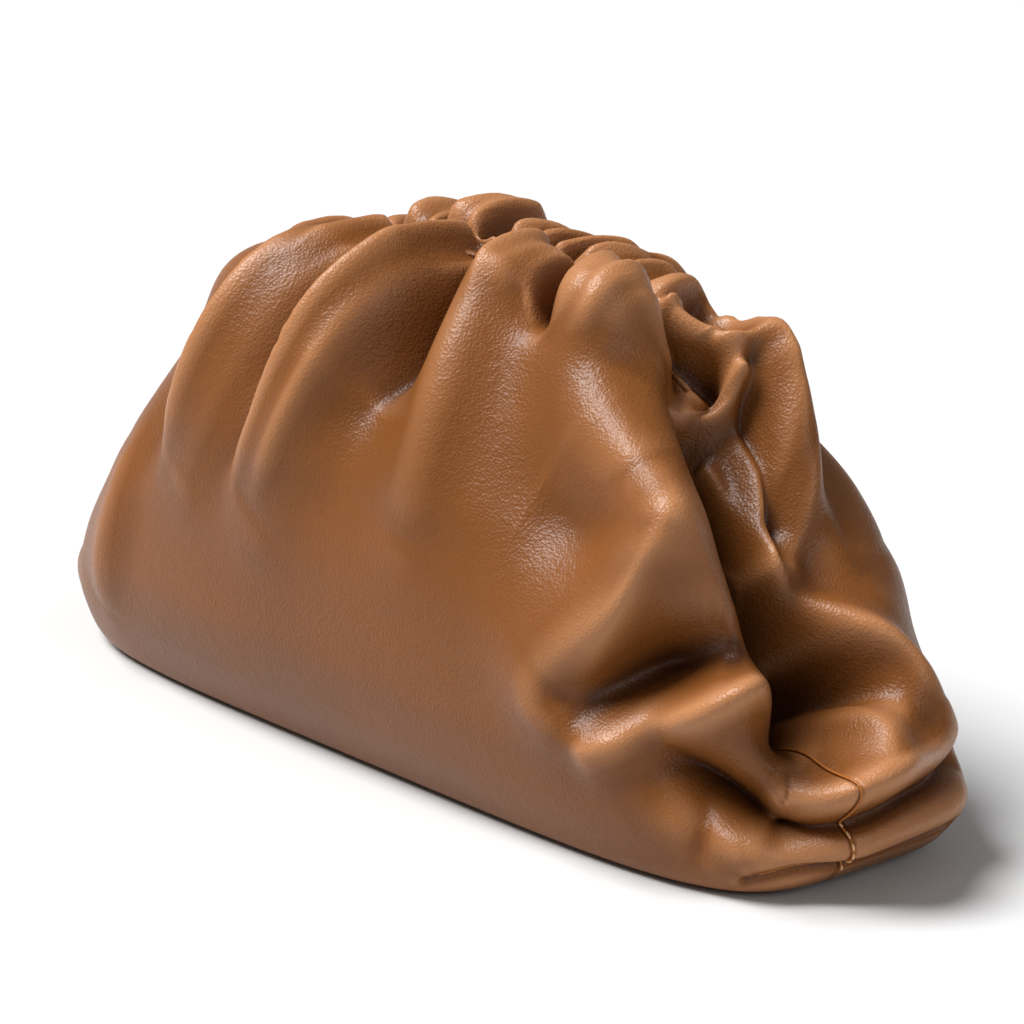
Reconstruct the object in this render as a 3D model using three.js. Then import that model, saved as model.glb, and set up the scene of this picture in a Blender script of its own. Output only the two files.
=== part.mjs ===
// Cloud pouch bag: a soft leather clutch gathered onto a frame hidden in its mouth.
// Millimetres, +Z up. The ends point along X, the front faces -Y, and the origin is
// the middle of the bag, on the surface that it stands on.
//
// The leather is one smooth form, given by level sections, with folds added to it.
// A place on it has an angle (0 at the +X end, 90 at the back, 180 at the -X end,
// -90 at the front) and a level (0 at the base edge, 1 at the inner edge of the lip).
import * as THREE from "three";
import { mergeVertices } from "three/addons/utils/BufferGeometryUtils.js";

// Driving sizes
const bagLength = 376;
const bagHeight = 168;
const bagDepth = 152;
const leatherWall = 2;
const seamGap = 0.3;
const foldRise = 20;
const foldSpread = 20;
const barThickness = 3;
const barClearance = 0.5;
const barEndDrop = 5;
const barEndLength = 14;
const seamTurn = 17; // how far the seam at the +X end has turned to the front, in degrees

// Grid and shape settings
const frontColumns = 44;
const backColumns = 34;
const endCrowding = 0.5;
const wallRows = 32;
const rowCrowding = 1.25;
const baseRows = 2;
const heldRows = 2; // rows at the base edge and at the lip that keep their places
const relaxPasses = 2; // how often the grid of points is evened out
const relaxShare = 0.6; // how far a point moves towards its neighbours each time
const pathSteps = 16;
const creaseRounding = 0.6;
const tiny = 1e-9;
const barEndAngle = 40;
const barStations = 24;
const barTopLevel = 0.965;
const baseKeepLevel = 0.06;
const lipFadeStart = 0.88;
const lipFadeLength = 0.08;
const seamTurnLevel = 0.45; // above it the seam turns back to the end's middle

// Level sections, from the base edge up over the lip and down inside it.
// height is a share of bagHeight, halfLength and halfDepth are shares of half of
// bagLength and bagDepth, square is the exponent of the section's outline, and
// droop is how far the ends of the mouth hang, as a share of the height.
const sections = [
  { level: 0, height: 0, halfLength: 0.835, halfDepth: 0.62, square: 5, droop: 0 },
  { level: 0.03, height: 0.01, halfLength: 0.89, halfDepth: 0.69, square: 4.6, droop: 0 },
  { level: 0.08, height: 0.06, halfLength: 0.955, halfDepth: 0.77, square: 3.8, droop: 0 },
  { level: 0.15, height: 0.135, halfLength: 0.98, halfDepth: 0.85, square: 3.3, droop: 0 },
  { level: 0.24, height: 0.245, halfLength: 0.945, halfDepth: 0.915, square: 2.9, droop: 0 },
  { level: 0.36, height: 0.395, halfLength: 0.86, halfDepth: 0.93, square: 2.6, droop: 0 },
  { level: 0.5, height: 0.57, halfLength: 0.755, halfDepth: 0.86, square: 2.5, droop: 0.02 },
  { level: 0.64, height: 0.74, halfLength: 0.655, halfDepth: 0.69, square: 2.5, droop: 0.06 },
  { level: 0.76, height: 0.865, halfLength: 0.575, halfDepth: 0.5, square: 2.5, droop: 0.11 },
  { level: 0.86, height: 0.95, halfLength: 0.52, halfDepth: 0.32, square: 2.6, droop: 0.16 },
  { level: 0.92, height: 0.975, halfLength: 0.495, halfDepth: 0.215, square: 2.8, droop: 0.19 },
  { level: 0.96, height: 0.96, halfLength: 0.485, halfDepth: 0.135, square: 4, droop: 0.2 },
  { level: 1, height: 0.89, halfLength: 0.478, halfDepth: 0.09, square: 8, droop: 0.2 },
];

// Folds. Each runs from start through mid to end, as [angle, level] pairs, downwards
// or as its name says. rise is its height there, as shares of foldRise, and is below
// zero in a valley. spread is where it has fallen to half, on its left and its right
// as it runs, as shares of foldSpread. edge is 1 for a sharp crease and 2 or more
// for a round swell.
const folds = [
  { name: "left_edge", start: [-137, 0.42], mid: [-131, 0.28], end: [-129, 0.14],
    rise: [0.15, 0.3, 0.05], spread: [0.4, 0.8], edge: 1.5 },
  { name: "left_crease", start: [-125, 0.88], mid: [-121.5, 0.66], end: [-124, 0.44],
    rise: [0.2, 0.5, 0.1], spread: [0.35, 0.6], edge: 1.3 },
  { name: "left_slope", start: [-133, 0.82], mid: [-131, 0.64], end: [-131, 0.46],
    rise: [-0.15, -0.3, -0.1], spread: [0.4, 0.5], edge: 1.6 },
  { name: "left_swell", start: [-116, 0.9], mid: [-115, 0.7], end: [-118, 0.44],
    rise: [0.1, 0.4, 0.15], spread: [0.5, 0.6], edge: 2 },
  { name: "left_valley", start: [-108, 0.92], mid: [-108, 0.78], end: [-106, 0.58],
    rise: [-0.7, -0.65, -0.15], spread: [0.34, 0.34], edge: 1.4 },
  { name: "second_ridge", start: [-98, 0.9], mid: [-99, 0.7], end: [-106, 0.46],
    rise: [0.3, 0.55, 0.15], spread: [0.42, 0.3], edge: 1.5 },
  { name: "second_swell", start: [-91, 0.9], mid: [-93, 0.68], end: [-101, 0.42],
    rise: [0.15, 0.5, 0.1], spread: [0.6, 0.7], edge: 2 },
  { name: "centre_valley", start: [-86, 0.95], mid: [-82.5, 0.79], end: [-86, 0.62],
    rise: [-1.05, -1.15, -0.15], spread: [0.3, 0.42], edge: 1.4 },
  { name: "centre_ridge", start: [-74, 0.93], mid: [-71, 0.74], end: [-75, 0.46],
    rise: [0.4, 0.6, 0.1], spread: [0.6, 0.6], edge: 2 },
  { name: "short_pocket", start: [-63, 0.94], mid: [-61, 0.87], end: [-55, 0.8],
    rise: [-0.85, -0.85, -0.1], spread: [0.32, 0.22], edge: 1.6 },
  { name: "right_ridge", start: [-52, 0.92], mid: [-46, 0.79], end: [-33, 0.56],
    rise: [0.45, 0.5, 0.65], spread: [0.6, 0.8], edge: 2 },
  { name: "front_peak", start: [-73, 0.905], mid: [-59, 0.912], end: [-45, 0.88],
    rise: [0.1, 0.65, 0.85], spread: [0.45, 0.5], edge: 2 },
  { name: "front_edge", start: [-33, 0.62], mid: [-27, 0.48], end: [-25, 0.35],
    rise: [0.25, 0.75, 0.55], spread: [0.35, 0.6], edge: 1.8 },
  { name: "right_dent", start: [-55, 0.56], mid: [-47, 0.545], end: [-37, 0.56],
    rise: [-0.1, -0.3, -0.25], spread: [0.6, 0.6], edge: 2 },
  { name: "slant_ridge", start: [-33, 0.525], mid: [-42, 0.42], end: [-53.5, 0.295],
    rise: [0.35, 0.75, 0.85], spread: [0.32, 0.8], edge: 1.5 },
  { name: "upper_hollow", start: [-28, 0.385], mid: [-40, 0.372], end: [-53, 0.3],
    rise: [-0.55, -1.05, -0.75], spread: [0.34, 0.36], edge: 1.7 },
  { name: "lower_ridge", start: [-26, 0.33], mid: [-38, 0.295], end: [-52, 0.24],
    rise: [0.6, 0.6, 0.35], spread: [0.34, 0.34], edge: 1.8 },
  { name: "lower_hollow", start: [-44, 0.262], mid: [-39, 0.215], end: [-30, 0.178],
    rise: [-0.65, -1.1, -0.8], spread: [0.3, 0.38], edge: 1.6 },
  { name: "corner_crease", start: [-43, 0.215], mid: [-43.5, 0.16], end: [-44.5, 0.08],
    rise: [-0.05, -0.22, -0.05], spread: [0.18, 0.18], edge: 1.4 },
  { name: "end_hollow", start: [6, 0.84], mid: [-4, 0.58], end: [-9, 0.36],
    rise: [-0.5, -1.5, -1.3], spread: [1, 0.8], edge: 2.3 },
  { name: "end_notch", start: [-12, 0.94], mid: [-15, 0.6], end: [-15, 0.36],
    rise: [-0.2, -0.8, -0.6], spread: [0.34, 0.34], edge: 1.9 },
  { name: "end_overhang", start: [-29, 0.2], mid: [-18, 0.2], end: [26, 0.228],
    rise: [0.35, 0.45, 0.15], spread: [0.26, 0.26], edge: 1.8 },
  { name: "end_shadow", start: [-31, 0.148], mid: [-9, 0.17], end: [34, 0.182],
    rise: [-0.65, -0.65, -0.45], spread: [0.18, 0.18], edge: 1.5 },
  { name: "base_band", start: [-38, 0.124], mid: [-14, 0.14], end: [42, 0.131],
    rise: [0.1, 0.22, 0.1], spread: [0.3, 0.3], edge: 2 },
  { name: "end_crest", start: [38, 0.8], mid: [18, 0.68], end: [-6, 0.5],
    rise: [0.5, 1.15, 0.55], spread: [0.34, 0.28], edge: 1.8 },
  { name: "end_crest_foot", start: [-6, 0.5], mid: [7, 0.4], end: [20, 0.27],
    rise: [0.55, 0.8, 0.35], spread: [0.4, 0.32], edge: 1.9 },
  { name: "end_curl", start: [-4, 0.315], mid: [-3, 0.265], end: [-15, 0.212],
    rise: [0.5, 0.9, 0.5], spread: [0.6, 0.24], edge: 1.9 },
  { name: "end_cavern", start: [-22, 0.29], mid: [-6, 0.345], end: [6, 0.335],
    rise: [-0.9, -2, -1.2], spread: [0.26, 0.28], edge: 1.8 },
  { name: "back_corner", start: [36, 0.7], mid: [34, 0.56], end: [36, 0.44],
    rise: [0.35, 0.5, 0.3], spread: [1, 1], edge: 2.3 },
  { name: "left_lobe", start: [160, 0.13], mid: [181, 0.14], end: [200, 0.12],
    rise: [0.3, 0.85, 0.35], spread: [0.65, 0.75], edge: 2 },
  { name: "left_shoulder", start: [-140, 0.84], mid: [-165, 0.76], end: [-190, 0.66],
    rise: [0.3, 0.55, 0.2], spread: [0.9, 1], edge: 2.2 },
  { name: "inner_crest", start: [45, 0.92], mid: [38, 0.89], end: [24, 0.82],
    rise: [0.2, 0.4, 0.2], spread: [0.24, 0.24], edge: 1.6 },
  { name: "inner_pleat", start: [-3, 0.74], mid: [-2, 0.66], end: [-4, 0.5],
    rise: [0.1, 0.4, 0.2], spread: [0.2, 0.2], edge: 1.5 },
  { name: "end_groove", start: [27, 0.79], mid: [21, 0.69], end: [7, 0.56],
    rise: [-0.4, -0.5, -0.3], spread: [0.2, 0.2], edge: 1.6 },
  { name: "back_1", start: [113, 0.95], mid: [111, 0.8], end: [107, 0.55],
    rise: [0.25, 0.35, 0], spread: [0.4, 0.4], edge: 1.8 },
  { name: "back_2", start: [99, 0.96], mid: [100, 0.86], end: [98, 0.6],
    rise: [0.75, 0.55, 0.1], spread: [0.32, 0.4], edge: 1.6 },
  { name: "back_3", start: [84, 0.95], mid: [82, 0.8], end: [80, 0.5],
    rise: [0.35, 0.45, 0.1], spread: [0.45, 0.5], edge: 1.8 },
  { name: "back_4", start: [70, 0.94], mid: [66, 0.78], end: [62, 0.48],
    rise: [0.35, 0.45, 0.1], spread: [0.45, 0.5], edge: 1.8 },
  { name: "back_valley", start: [42, 0.74], mid: [31, 0.61], end: [24, 0.47],
    rise: [-0.3, -0.6, -0.3], spread: [0.8, 0.35], edge: 1.8 },
  { name: "back_loop", start: [49, 0.93], mid: [47, 0.885], end: [43, 0.79],
    rise: [0.35, 0.5, 0.05], spread: [0.36, 0.45], edge: 1.8 },
  { name: "back_v1", start: [92, 0.95], mid: [92, 0.82], end: [90, 0.62],
    rise: [-0.4, -0.5, -0.1], spread: [0.35, 0.35], edge: 1.5 },
  { name: "back_v2", start: [106, 0.95], mid: [106, 0.82], end: [104, 0.62],
    rise: [-0.3, -0.4, -0.1], spread: [0.3, 0.3], edge: 1.5 },
  { name: "back_v3", start: [77, 0.95], mid: [75, 0.8], end: [72, 0.6],
    rise: [-0.3, -0.4, -0.1], spread: [0.35, 0.35], edge: 1.5 },
];

// A monotone curve through a column of the section table
function columnCurve(name) {
  const x = sections.map((row) => row.level);
  const y = sections.map((row) => row[name]);
  const last = x.length - 1;
  const step = [];
  const grade = [];
  for (let k = 0; k < last; k++) {
    step.push(x[k + 1] - x[k]);
    grade.push((y[k + 1] - y[k]) / step[k]);
  }
  const slope = y.map(() => 0);
  slope[0] = grade[0];
  slope[last] = grade[last - 1];
  for (let k = 1; k < last; k++) {
    if (grade[k - 1] * grade[k] <= 0) continue;
    const before = 2 * step[k] + step[k - 1];
    const after = step[k] + 2 * step[k - 1];
    slope[k] = (before + after) / (before / grade[k - 1] + after / grade[k]);
  }
  return (level) => {
    let k = 0;
    while (k < last - 1 && level >= x[k + 1]) k++;
    const t = (level - x[k]) / step[k];
    const from = (1 + 2 * t) * (1 - t) ** 2 * y[k] + t * (1 - t) ** 2 * step[k] * slope[k];
    return from + t * t * (3 - 2 * t) * y[k + 1] + t * t * (t - 1) * step[k] * slope[k + 1];
  };
}

const heightAt = columnCurve("height");
const halfLengthAt = columnCurve("halfLength");
const halfDepthAt = columnCurve("halfDepth");
const squareAt = columnCurve("square");
const droopAt = columnCurve("droop");

// The smooth form without folds: a squared ellipse at each level, whose ends droop
function formPoint(angle, level) {
  const turn = THREE.MathUtils.degToRad(angle);
  const c = Math.cos(turn);
  const s = Math.sin(turn);
  const square = squareAt(level);
  const reach = (Math.abs(c) ** square + Math.abs(s) ** square) ** (-1 / square);
  const droop = 1 - droopAt(level) * Math.abs(c * reach) ** 3;
  return new THREE.Vector3(
    (halfLengthAt(level) * bagLength * c * reach) / 2,
    (halfDepthAt(level) * bagDepth * s * reach) / 2,
    heightAt(level) * bagHeight * droop
  );
}

// The directions of the form at a place, and how many millimetres a degree of
// angle and a unit of level cover there
function formBasis(angle, level) {
  const angleStep = 0.25;
  const levelStep = 0.0015;
  const low = Math.max(level - levelStep, 0);
  const high = Math.min(level + levelStep, 1);
  const along = formPoint(angle + angleStep, level)
    .sub(formPoint(angle - angleStep, level))
    .divideScalar(2 * angleStep);
  const up = formPoint(angle, high).sub(formPoint(angle, low)).divideScalar(high - low);
  const perDegree = along.length();
  const alongWay = along.divideScalar(perDegree);
  const shear = up.dot(alongWay);
  const upWay = up.addScaledVector(alongWay, -shear);
  const perLevel = upWay.length();
  upWay.divideScalar(perLevel);
  const outWay = new THREE.Vector3().crossVectors(alongWay, upWay);
  return { perDegree, shear, perLevel, alongWay, upWay, outWay };
}

// The quadratic curve through three values, at shares 0, 1/2 and 1 of its run
function through(first, middle, last, t) {
  const control = 2 * middle - (first + last) / 2;
  return (1 - t) ** 2 * first + 2 * t * (1 - t) * control + t * t * last;
}

function foldPath(fold) {
  const points = [];
  for (let i = 0; i <= pathSteps; i++) {
    const t = i / pathSteps;
    points.push({
      angle: through(fold.start[0], fold.mid[0], fold.end[0], t),
      level: through(fold.start[1], fold.mid[1], fold.end[1], t),
    });
  }
  return points;
}

const foldPaths = folds.map(foldPath);

// The nearest place on a fold's path, measured in the form's own surface: how far
// it is, its side of the path as the sine of the way there, and how far along it
function nearestOnPath(points, angle, level, basis) {
  const middle = points[pathSteps / 2].angle;
  const turned = THREE.MathUtils.euclideanModulo(middle - angle + 180, 360) - 180;
  let best = { square: Infinity, side: 1, share: 0 };
  for (let i = 0; i < pathSteps; i++) {
    const fromAngle = turned + points[i].angle - middle;
    const fromLevel = points[i].level - level;
    const stepAngle = points[i + 1].angle - points[i].angle;
    const stepLevel = points[i + 1].level - points[i].level;
    const fromX = basis.perDegree * fromAngle + basis.shear * fromLevel;
    const fromY = basis.perLevel * fromLevel;
    const stepX = basis.perDegree * stepAngle + basis.shear * stepLevel;
    const stepY = basis.perLevel * stepLevel;
    const share = -(fromX * stepX + fromY * stepY) / (stepX ** 2 + stepY ** 2);
    const t = THREE.MathUtils.clamp(share, 0, 1);
    const x = fromX + t * stepX;
    const y = fromY + t * stepY;
    const square = x * x + y * y;
    if (square < best.square) {
      const side = (stepX * y - stepY * x) / (Math.hypot(stepX, stepY) * Math.sqrt(square) + tiny);
      best = { square, side, share: (i + t) / pathSteps };
    }
  }
  return best;
}

// How far the folds lift the leather off the form at a place
function foldLift(angle, level, basis) {
  let lift = 0;
  folds.forEach((fold, index) => {
    const near = nearestOnPath(foldPaths[index], angle, level, basis);
    const [left, right] = fold.spread;
    const halfWidth = ((left + right + (right - left) * near.side) / 2) * foldSpread;
    const away = Math.sqrt(near.square + creaseRounding) / halfWidth;
    const rise = through(fold.rise[0], fold.rise[1], fold.rise[2], near.share) * foldRise;
    lift += rise * 2 ** -(away ** fold.edge);
  });
  return lift;
}

// The outer face of the leather. The folds fade out at the base edge and at the lip.
function leatherPoint(angle, level) {
  const basis = formBasis(angle, level);
  const base = THREE.MathUtils.smoothstep(level, 0, baseKeepLevel);
  const lip = 1 - THREE.MathUtils.smoothstep(level, lipFadeStart, lipFadeStart + lipFadeLength);
  const point = formPoint(angle, level);
  point.addScaledVector(basis.outWay, foldLift(angle, level, basis) * base * lip);
  point.z = Math.max(point.z, 0);
  return point;
}

// The angles of one row of points, which crowd towards the folded +X end
function rowAngles(level) {
  const turns = [];
  for (let j = 0; j < frontColumns; j++) turns.push(Math.PI * (j / frontColumns - 1));
  for (let j = 0; j < backColumns; j++) turns.push((Math.PI * j) / backColumns);
  const seam = seamTurn * (1 - THREE.MathUtils.smoothstep(level, seamTurnLevel, lipFadeStart));
  return turns.map((turn) => {
    const nearEnd = ((1 + Math.cos(turn)) / 2) ** 2;
    return THREE.MathUtils.radToDeg(turn - endCrowding * Math.sin(turn)) - seam * nearEnd;
  });
}

// The rows of points after each has moved towards the mean of its four neighbours, so
// that no fold is narrower than the grid can carry. The base edge and the lip stay.
function relaxed(points) {
  return points.map((row, i) => {
    if (i < heldRows || i > wallRows - heldRows) return row;
    return row.map((point, j) => {
      const sides = [row[(j + 1) % row.length], row.at(j - 1), points[i - 1][j], points[i + 1][j]];
      const mean = new THREE.Vector3();
      sides.forEach((side) => mean.addScaledVector(side, 1 / sides.length));
      return point.clone().lerp(mean, relaxShare);
    });
  });
}

// The whole ring of leather as rows of points, with the way round it and the way out
// of it at each point. The rows crowd towards the base.
function leatherGrid() {
  let points = [];
  for (let i = 0; i <= wallRows; i++) {
    const level = (i / wallRows) ** rowCrowding;
    points.push(rowAngles(level).map((angle) => leatherPoint(angle, level)));
  }
  for (let pass = 0; pass < relaxPasses; pass++) points = relaxed(points);
  const columns = frontColumns + backColumns;
  const at = (i, j) => points[THREE.MathUtils.clamp(i, 0, wallRows)][(j + columns) % columns];
  const around = points.map((row, i) =>
    row.map((_, j) => at(i, j + 1).clone().sub(at(i, j - 1)).normalize())
  );
  const out = points.map((row, i) =>
    row.map((_, j) => {
      const up = at(i + 1, j).clone().sub(at(i - 1, j));
      return new THREE.Vector3().crossVectors(around[i][j], up).normalize();
    })
  );
  return { points, around, out };
}

// One panel's outer and inner faces: from the middle of the base, out to the base
// edge, up the wall and over the lip. side is -1 for the front and 1 for the back.
function panelFaces(grid, side) {
  const firstColumn = side < 0 ? 0 : frontColumns;
  const lastColumn = side < 0 ? frontColumns : backColumns;
  const outer = [];
  const inner = [];
  for (let i = 0; i <= wallRows; i++) {
    const outerRow = [];
    const innerRow = [];
    for (let j = 0; j <= lastColumn; j++) {
      const column = (firstColumn + j) % (frontColumns + backColumns);
      const inset = j === 0 ? 1 : j === lastColumn ? -1 : 0;
      const point = grid.points[i][column].clone();
      point.addScaledVector(grid.around[i][column], (inset * seamGap) / 2);
      const inside = point.clone().addScaledVector(grid.out[i][column], -leatherWall);
      inside.z = i === 0 ? leatherWall : Math.max(inside.z, leatherWall);
      outerRow.push(point);
      innerRow.push(inside);
    }
    outer.push(outerRow);
    inner.push(innerRow);
  }
  return { outer: withBase(outer, side), inner: withBase(inner, side) };
}

// The rows of the flat base, from the seam along its middle out to the base edge
function withBase(wall, side) {
  const ring = wall[0];
  const last = ring.length - 1;
  const seam = ring.map((point, j) => {
    if (j === 0 || j === last) return point;
    const share = (1 - Math.cos((Math.PI * j) / last)) / 2;
    const place = ring[0].clone().lerp(ring[last], share);
    place.y += (side * seamGap) / 2;
    return place;
  });
  const base = [];
  for (let i = 0; i < baseRows; i++) {
    base.push(seam.map((point, j) => point.clone().lerp(ring[j], i / baseRows)));
  }
  return [...base, ...wall];
}

// Two triangles for a four-sided face whose corners run anticlockwise seen from outside
function addFace(triangles, a, b, c, d) {
  triangles.push([a, b, c], [a, c, d]);
}

// A mesh of triangles, without those that have shrunk to a line
function meshOf(name, triangles, material) {
  const tolerance = 1e-3;
  const sound = triangles.filter(
    ([a, b, c]) => Math.min(a.distanceTo(b), b.distanceTo(c), c.distanceTo(a)) > tolerance
  );
  const corners = new Float32Array(sound.flat().flatMap((point) => point.toArray()));
  const loose = new THREE.BufferGeometry();
  loose.setAttribute("position", new THREE.BufferAttribute(corners, 3));
  const geometry = mergeVertices(loose, tolerance);
  geometry.computeVertexNormals();
  const mesh = new THREE.Mesh(geometry, material);
  mesh.name = name;
  return mesh;
}

// A panel as a wall of leather: its two faces, joined round the edges
function panel(name, grid, side, material) {
  const { outer, inner } = panelFaces(grid, side);
  const lastRow = outer.length - 1;
  const lastColumn = outer[0].length - 1;
  const triangles = [];
  for (let i = 0; i < lastRow; i++) {
    for (let j = 0; j < lastColumn; j++) {
      addFace(triangles, outer[i][j], outer[i][j + 1], outer[i + 1][j + 1], outer[i + 1][j]);
      addFace(triangles, inner[i][j], inner[i + 1][j], inner[i + 1][j + 1], inner[i][j + 1]);
    }
    addFace(triangles, outer[i][0], outer[i + 1][0], inner[i + 1][0], inner[i][0]);
    const j = lastColumn;
    addFace(triangles, outer[i][j], inner[i][j], inner[i + 1][j], outer[i + 1][j]);
  }
  for (let j = 0; j < lastColumn; j++) {
    addFace(triangles, outer[0][j + 1], outer[0][j], inner[0][j], inner[0][j + 1]);
    addFace(triangles, outer[lastRow][j], outer[lastRow][j + 1], inner[lastRow][j + 1], inner[lastRow][j]);
  }
  return meshOf(name, triangles, material);
}

// The outline of a bar's section, as distances across it and down it
function barSection(length) {
  const corner = barThickness / 4;
  return [
    [0, corner],
    [0, length - corner],
    [corner, length],
    [barThickness - corner, length],
    [barThickness, length - corner],
    [barThickness, corner],
    [barThickness - corner, 0],
    [corner, 0],
  ];
}

// A covered bar of the frame. It follows the face of the lip that faces the slit, a
// clearance away from it, and hangs a little lower at its two ends.
function frameBar(name, side, material) {
  const firstAngle = side < 0 ? barEndAngle - 180 : barEndAngle;
  const reach = Math.abs(formPoint(barEndAngle, 1).x);
  const rings = [];
  for (let k = 0; k <= barStations; k++) {
    const angle = firstAngle + ((180 - 2 * barEndAngle) * k) / barStations;
    const top = formPoint(angle, barTopLevel);
    const down = formPoint(angle, 1).sub(top);
    const fromEnd = reach - Math.abs(top.x + down.x);
    const drop = barEndDrop * (1 - THREE.MathUtils.smoothstep(fromEnd, 0, barEndLength));
    const length = down.length();
    down.divideScalar(length);
    rings.push(
      barSection(length + drop).map(([across, below]) => {
        const point = top.clone().addScaledVector(down, below);
        point.y -= side * (barClearance + across);
        return point;
      })
    );
  }
  const triangles = [];
  const corners = rings[0].length;
  for (let k = 0; k < barStations; k++) {
    for (let i = 0; i < corners; i++) {
      const next = (i + 1) % corners;
      addFace(triangles, rings[k][i], rings[k][next], rings[k + 1][next], rings[k + 1][i]);
    }
  }
  for (let i = 1; i < corners - 1; i++) {
    triangles.push([rings[0][0], rings[0][i + 1], rings[0][i]]);
    triangles.push([rings[barStations][0], rings[barStations][i], rings[barStations][i + 1]]);
  }
  return meshOf(name, triangles, material);
}

const leather = new THREE.MeshStandardMaterial({ color: 0xa5693f, roughness: 0.5, metalness: 0 });
const barCover = new THREE.MeshStandardMaterial({ color: 0x9a6038, roughness: 0.5, metalness: 0 });

const grid = leatherGrid();
const bag = new THREE.Group();
bag.add(
  panel("front_panel", grid, -1, leather),
  panel("back_panel", grid, 1, leather),
  frameBar("front_frame_bar", -1, barCover),
  frameBar("back_frame_bar", 1, barCover)
);

// The origin is the middle of the bag's box, on the surface that it stands on
const middle = new THREE.Box3().setFromObject(bag).getCenter(new THREE.Vector3());
bag.position.set(-middle.x, -middle.y, 0);

export default bag;
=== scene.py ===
"""Cloud pouch bag: a soft leather clutch gathered onto a frame hidden in its mouth.

The leather is one smooth form, given by level sections, with folds added to it. A place
on it has an angle (0 at the +X end, 90 at the back, 180 at the -X end, -90 at the front)
and a level (0 at the base edge, 1 at the inner edge of the lip).
"""

import math
from collections import namedtuple

import bmesh
import bpy
import numpy as np
from bpy.props import FloatProperty, FloatVectorProperty, IntProperty, PointerProperty
from mathutils import Matrix, Vector


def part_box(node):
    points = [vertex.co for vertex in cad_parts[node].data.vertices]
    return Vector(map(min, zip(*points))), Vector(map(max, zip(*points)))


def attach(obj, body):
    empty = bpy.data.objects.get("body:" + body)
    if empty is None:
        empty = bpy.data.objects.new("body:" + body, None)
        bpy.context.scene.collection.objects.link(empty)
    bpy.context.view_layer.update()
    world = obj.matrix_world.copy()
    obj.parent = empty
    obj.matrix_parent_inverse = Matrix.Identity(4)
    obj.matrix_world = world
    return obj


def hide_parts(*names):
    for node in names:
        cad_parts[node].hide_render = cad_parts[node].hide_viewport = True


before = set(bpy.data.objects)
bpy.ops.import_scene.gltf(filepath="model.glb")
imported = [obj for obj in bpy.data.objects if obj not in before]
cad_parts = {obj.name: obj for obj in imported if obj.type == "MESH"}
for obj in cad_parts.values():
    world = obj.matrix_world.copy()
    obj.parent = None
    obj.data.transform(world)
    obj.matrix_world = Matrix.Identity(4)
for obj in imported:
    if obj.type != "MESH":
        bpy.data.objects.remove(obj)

bl_info = {
    "name": "Cloud pouch bag",
    "version": (1, 0, 0),
    "blender": (4, 5, 0),
    "location": "View3D > Sidebar > Pouch",
    "description": "Builds a soft gathered leather clutch on its frame, with a studio stage",
    "category": "Object",
}

# Level sections, from the base edge up over the lip and down inside it. height is a share
# of the bag's height, half_length and half_depth are shares of half its length and depth,
# square is the exponent of the section's outline, and droop is how far the ends of the
# mouth hang, as a share of the height.
Section = namedtuple("Section", "level height half_length half_depth square droop")
SECTIONS = [
    Section(0.0, 0.0, 0.835, 0.62, 5.0, 0.0),
    Section(0.03, 0.01, 0.89, 0.69, 4.6, 0.0),
    Section(0.08, 0.06, 0.955, 0.77, 3.8, 0.0),
    Section(0.15, 0.135, 0.98, 0.85, 3.3, 0.0),
    Section(0.24, 0.245, 0.945, 0.915, 2.9, 0.0),
    Section(0.36, 0.395, 0.86, 0.93, 2.6, 0.0),
    Section(0.5, 0.57, 0.755, 0.86, 2.5, 0.02),
    Section(0.64, 0.74, 0.655, 0.69, 2.5, 0.06),
    Section(0.76, 0.865, 0.575, 0.5, 2.5, 0.11),
    Section(0.86, 0.95, 0.52, 0.32, 2.6, 0.16),
    Section(0.92, 0.975, 0.495, 0.215, 2.8, 0.19),
    Section(0.96, 0.96, 0.485, 0.135, 4.0, 0.2),
    Section(1.0, 0.89, 0.478, 0.09, 8.0, 0.2),
]

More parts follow.
